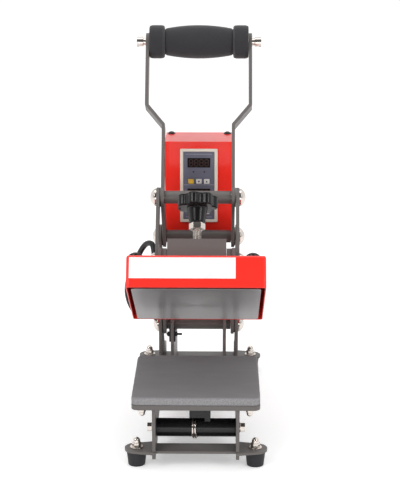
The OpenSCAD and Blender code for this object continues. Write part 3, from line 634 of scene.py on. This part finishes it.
def make_grip():
    low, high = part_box("handle_grip")
    tube_low, tube_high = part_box("handle_core")
    middle = (tube_low + tube_high) / 2
    half = (high.x - low.x) / 2
    radius, groove = GRIP_RADIUS, GRIP_GROOVE
    waist = radius - GRIP_WAISTED
    barrel = half - GRIP_COLLAR - groove
    bore = (tube_high.z - tube_low.z) / 2
    collar = [(waist - 1.0 * MM, barrel, 0.3 * MM), (waist - 0.8 * MM, barrel + groove * 0.7, 0.4 * MM),
              (radius - 1.0 * MM, barrel + groove, 1.6 * MM), (radius, barrel + groove + 3.5 * MM, 2.2 * MM),
              (radius, half - 2.6 * MM, 2.4 * MM), (radius - 1.4 * MM, half - 0.1 * MM, 1.2 * MM),
              (bore + 0.4 * MM, half - 0.1 * MM, 0)]
    end = eased([(waist + 0.05 * MM, barrel - 0.8 * MM, 0)] + collar, 4)
    belly = []
    for i in range(41):
        x = (barrel - 0.8 * MM) * (i / 20 - 1)
        belly.append(Vector((waist + (radius - waist) * (1 - (x / barrel) ** 2), x)))
    profile = [Vector((r, -x)) for r, x in reversed(end)] + belly[1:-1] + list(end)
    bm = bmesh.new()
    place = Matrix.Translation(middle) @ Matrix.Rotation(math.pi / 2, 4, "Y")
    rings = lathe(bm, profile, place, GRIP_SIDES)
    for ring_points in rings[4:-4]:
        for vert in ring_points:
            out = (vert.co - middle) * Vector((0, 1, 1))
            vert.co += out.normalized() * (ripple(vert.co, 300, 0.05 * MM) - 0.06 * MM)
    grip = new_piece("foam_grip", bm, MATERIALS["grip_foam"], "handle")
    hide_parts("handle_grip")


# Turned and wound metal

THREAD_PITCH = 1.5 * MM
THREAD_DEPTH = 0.85 * MM
THREAD_STEPS = 6
THREAD_SIDES = 32
RING_TURNS = 2
RING_STEPS = 48
RING_WIRE = 2.4 * MM
RING_WIRE_SIDES = 14
RING_PITCH = 3.0 * MM
RING_SLANT = 1.6 * MM
RING_CLEAR = 0.4 * MM
RING_OFF = 1 * MM


def make_stud():
    """The pressure screw with its thread."""
    low, high = shut_box("pressure_stud")
    radius = (high.x - low.x) / 2
    root = radius - THREAD_DEPTH
    pitch, sides = THREAD_PITCH, THREAD_SIDES
    length = high.z - low.z
    count = int(length / pitch * THREAD_STEPS)
    place = OPENED @ Matrix.Translation(((low.x + high.x) / 2, (low.y + high.y) / 2, low.z))
    bm = bmesh.new()
    rings = []
    for i in range(count + 1):
        z = length * i / count
        taper = min(1.0, (length - z) / (1.5 * pitch), z / (1.5 * pitch))
        points = []
        for k in range(sides):
            phase = (z / pitch + k / sides) % 1.0
            crest = min(1.0, max(0.0, 1.5 - abs(phase - 0.5) * 3.6))
            r = root + (radius - root) * crest * taper
            angle = 2 * math.pi * k / sides
            points.append(bm.verts.new(place @ Vector((r * math.cos(angle), r * math.sin(angle), z))))
        rings.append(points)
    rings_to_faces(bm, rings)
    stud = new_piece("threaded_stud", bm, MATERIALS["bright_steel"], "knob")
    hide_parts("pressure_stud")


def make_split_ring():
    """Two turns of spring wire round the tie tube."""
    low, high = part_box("tie_tube")
    middle = (low + high) / 2
    radius = (high.z - low.z) / 2 + RING_WIRE / 2 + RING_CLEAR
    points = []
    for i in range(RING_TURNS * RING_STEPS + 1):
        angle = 2 * math.pi * i / RING_STEPS
        x = RING_PITCH * (i / RING_STEPS - RING_TURNS / 2) - RING_OFF + RING_SLANT * math.cos(angle)
        points.append(Vector((x, middle.y + radius * math.cos(angle), middle.z + radius * math.sin(angle))))
    bm = bmesh.new()
    sweep(bm, points, RING_WIRE / 2, RING_WIRE_SIDES)
    ring = new_piece("wire_ring", bm, MATERIALS["bright_steel"], "root")
    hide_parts("split_ring")


# Heater lead

LEAD_D = 7 * MM
LEAD_SIDES = 20
GLAND_AT = (-54, -62)
GLAND_TIP = 146
LEAD_ROUTE = [(-54, -17, 214), (-57, -8, 226), (-66, 2, 223), (-76, 8, 206), (-85, 11, 185), (-90, 12, 163),
              (-87, 13, 143), (-78, 20, 127), (-68, 42, 117), (-60, 62, 116), (-56, 80, 124), (-48, 92, 142),
              (-33, 97, 156), (-19, 100, 173), (-12, 101, 190)]
LEAD_END = (-12, 101, 212)
LEAD_STRAIGHT = 8
LEAD_STEPS = 8


def catmull(a, b, c, d, t):
    """A point between b and c on a smooth curve through all four."""
    square, cube = 2 * a - 5 * b + 4 * c - d, 3 * b - a - 3 * c + d
    return 0.5 * (2 * b + (c - a) * t + square * t * t + cube * t ** 3)


def make_lead():
    exit_at = OPENED @ (Vector((*GLAND_AT, GLAND_TIP)) * MM)
    end = Vector(LEAD_END) * MM
    line = [exit_at + HEAD_UP * LEAD_STRAIGHT * MM]
    line += [Vector(p) * MM for p in LEAD_ROUTE]
    line.append(end - Vector((0, 0, LEAD_STRAIGHT * MM)))
    path = [exit_at]
    for i in range(len(line) - 1):
        around = [line[max(0, min(j, len(line) - 1))] for j in range(i - 1, i + 3)]
        path += [catmull(*around, k / LEAD_STEPS) for k in range(LEAD_STEPS)]
    path += [line[-1], end]
    bm = bmesh.new()
    sweep(bm, path, LEAD_D / 2, LEAD_SIDES)
    lead = new_piece("heater_lead", bm, CABLE_SLEEVE, None)
    length = sum((b - a).length for a, b in zip(path, path[1:]))
    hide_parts("heater_cable")
    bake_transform(lead)
    [tuple(p) for p in path]


# Plates, marks and the controller's face

PLATE_LEFT, PLATE_TOP = 3.6 * MM, 3.2 * MM
PLATE_WIDTH, PLATE_HEIGHT, PLATE_THICK = 123.0 * MM, 25 * MM, 0.35 * MM
PLATE_EDGE = 0.12 * MM
WINDOW_H = 12 * MM
DIGITS = 4
DIGIT_W = 4.4 * MM
DIGIT_H = 8.2 * MM
DIGIT_PITCH = 6.6 * MM
BAR = 0.95 * MM
BAR_GAP = 0.18 * MM
BAR_PROUD = 0.04 * MM
# Each segment is (x, z, upright) in half widths and quarter heights from the middle of the digit
SEGMENTS = [(0, 2, False), (0, 0, False), (0, -2, False),
            (-1, 1, True), (1, 1, True), (-1, -1, True), (1, -1, True)]
LAMP_ACROSS = 6.9 * MM
LAMP_RADIUS = 1.0 * MM
LAMP_THICK = 0.25 * MM
# Name and height from the panel's middle of each pair of lamps
LAMP_PAIRS = (("upper_lamps", 18.2 * MM), ("lower_lamps", -21.8 * MM))
RULE_HALF = 0.25 * MM
RULE_PROUD = 0.05 * MM
ARROW_HALF = 1.45 * MM
ARROW_PROUD = 0.06 * MM


def make_blank_plate():
    """The plain white plate on the heater cover's front."""
    low, high = shut_box("heater_cover")
    left, top = low.x + PLATE_LEFT, high.z - PLATE_TOP
    bm = bmesh.new()
    box_between(bm, (left, low.y - PLATE_THICK, top - PLATE_HEIGHT), (left + PLATE_WIDTH, low.y, top))
    bm.transform(OPENED)
    plate = new_piece("blank_plate", bm, WHITE_PLATE, "head", False)
    bevel = plate.modifiers.new("edge", "BEVEL")
    bevel.width = PLATE_EDGE
    bevel.segments = EDGE_STEPS


def segment(bm, x, z, upright, length, face):
    """A bar with pointed ends, standing just proud of the window."""
    half, tip = length / 2 - BAR_GAP, BAR / 2
    flat = half - tip
    outline = [(-half, 0), (-flat, tip), (flat, tip), (half, 0), (flat, -tip), (-flat, -tip)]
    if upright:
        outline = [(b, a) for a, b in outline]
    front = [bm.verts.new((x + a, face - BAR_PROUD, z + b)) for a, b in outline]
    back = [bm.verts.new((x + a, face, z + b)) for a, b in outline]
    rings_to_faces(bm, [back, front])


def make_digits():
    """Unlit figures behind both display windows."""
    low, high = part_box("display_windows")
    middle = (low.x + high.x) / 2
    bm = bmesh.new()
    for z in (high.z - WINDOW_H / 2, low.z + WINDOW_H / 2):
        for i in range(DIGITS):
            x = middle + (i - (DIGITS - 1) / 2) * DIGIT_PITCH
            for across, up, upright in SEGMENTS:
                length = DIGIT_H / 2 if upright else DIGIT_W
                segment(bm, x + across * DIGIT_W / 2, z + up * DIGIT_H / 4, upright, length, low.y)
    new_piece("unlit_figures", bm, GHOST_SEGMENT, "root", False)


def disc(bm, at, radius, thick):
    place = Matrix.Translation(at) @ Matrix.Rotation(math.pi / 2, 4, "X")
    point = 0.0001 * MM
    profile = [(point, 0), (radius, 0), (radius, thick * 0.6), (radius * 0.7, thick), (point, thick * 1.1)]
    lathe(bm, profile, place, 24)


def make_panel_marks():
    """Pairs of lamps under the windows, and three rules across the panel."""
    low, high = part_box("controller_panel")
    middle = (low + high) / 2
    for name, up in LAMP_PAIRS:
        bm = bmesh.new()
        for x in (-LAMP_ACROSS, LAMP_ACROSS):
            disc(bm, (middle.x + x, low.y, middle.z + up), LAMP_RADIUS, LAMP_THICK)
        new_piece(name, bm, LAMP_LENS, "root")
    bm = bmesh.new()
    rules = ((middle.z + 1.2 * MM, 0.6 * MM), (high.z - 3.2 * MM, 3 * MM), (low.z + 3.2 * MM, 3 * MM))
    for z, inset in rules:
        box_between(bm, (low.x + inset, low.y - RULE_PROUD, z - RULE_HALF),
                    (high.x - inset, low.y, z + RULE_HALF))
    new_piece("panel_rules", bm, RULE, "root", False)


def make_arrow(button, body, up):
    """A small triangle printed on a white key."""
    low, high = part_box(button)
    middle = (low + high) / 2
    size = ARROW_HALF * (1 if up else -1)
    corners = [(-size, -size * 0.75), (size, -size * 0.75), (0, size * 0.95)]
    bm = bmesh.new()
    back = [bm.verts.new((middle.x + x, low.y, middle.z + z)) for x, z in corners]
    front = [bm.verts.new((middle.x + x, low.y - ARROW_PROUD, middle.z + z)) for x, z in corners]
    rings_to_faces(bm, [back, front])
    new_piece(button + "_arrow", bm, INK, body, False)


make_pad()
make_wool()
make_grip()
make_stud()
make_split_ring()
make_lead()
make_blank_plate()
make_digits()
make_panel_marks()
for half in ("", "timer_"):
    make_arrow(half + "up_button", half + "up_key", True)
    make_arrow(half + "down_button", half + "down_key", False)
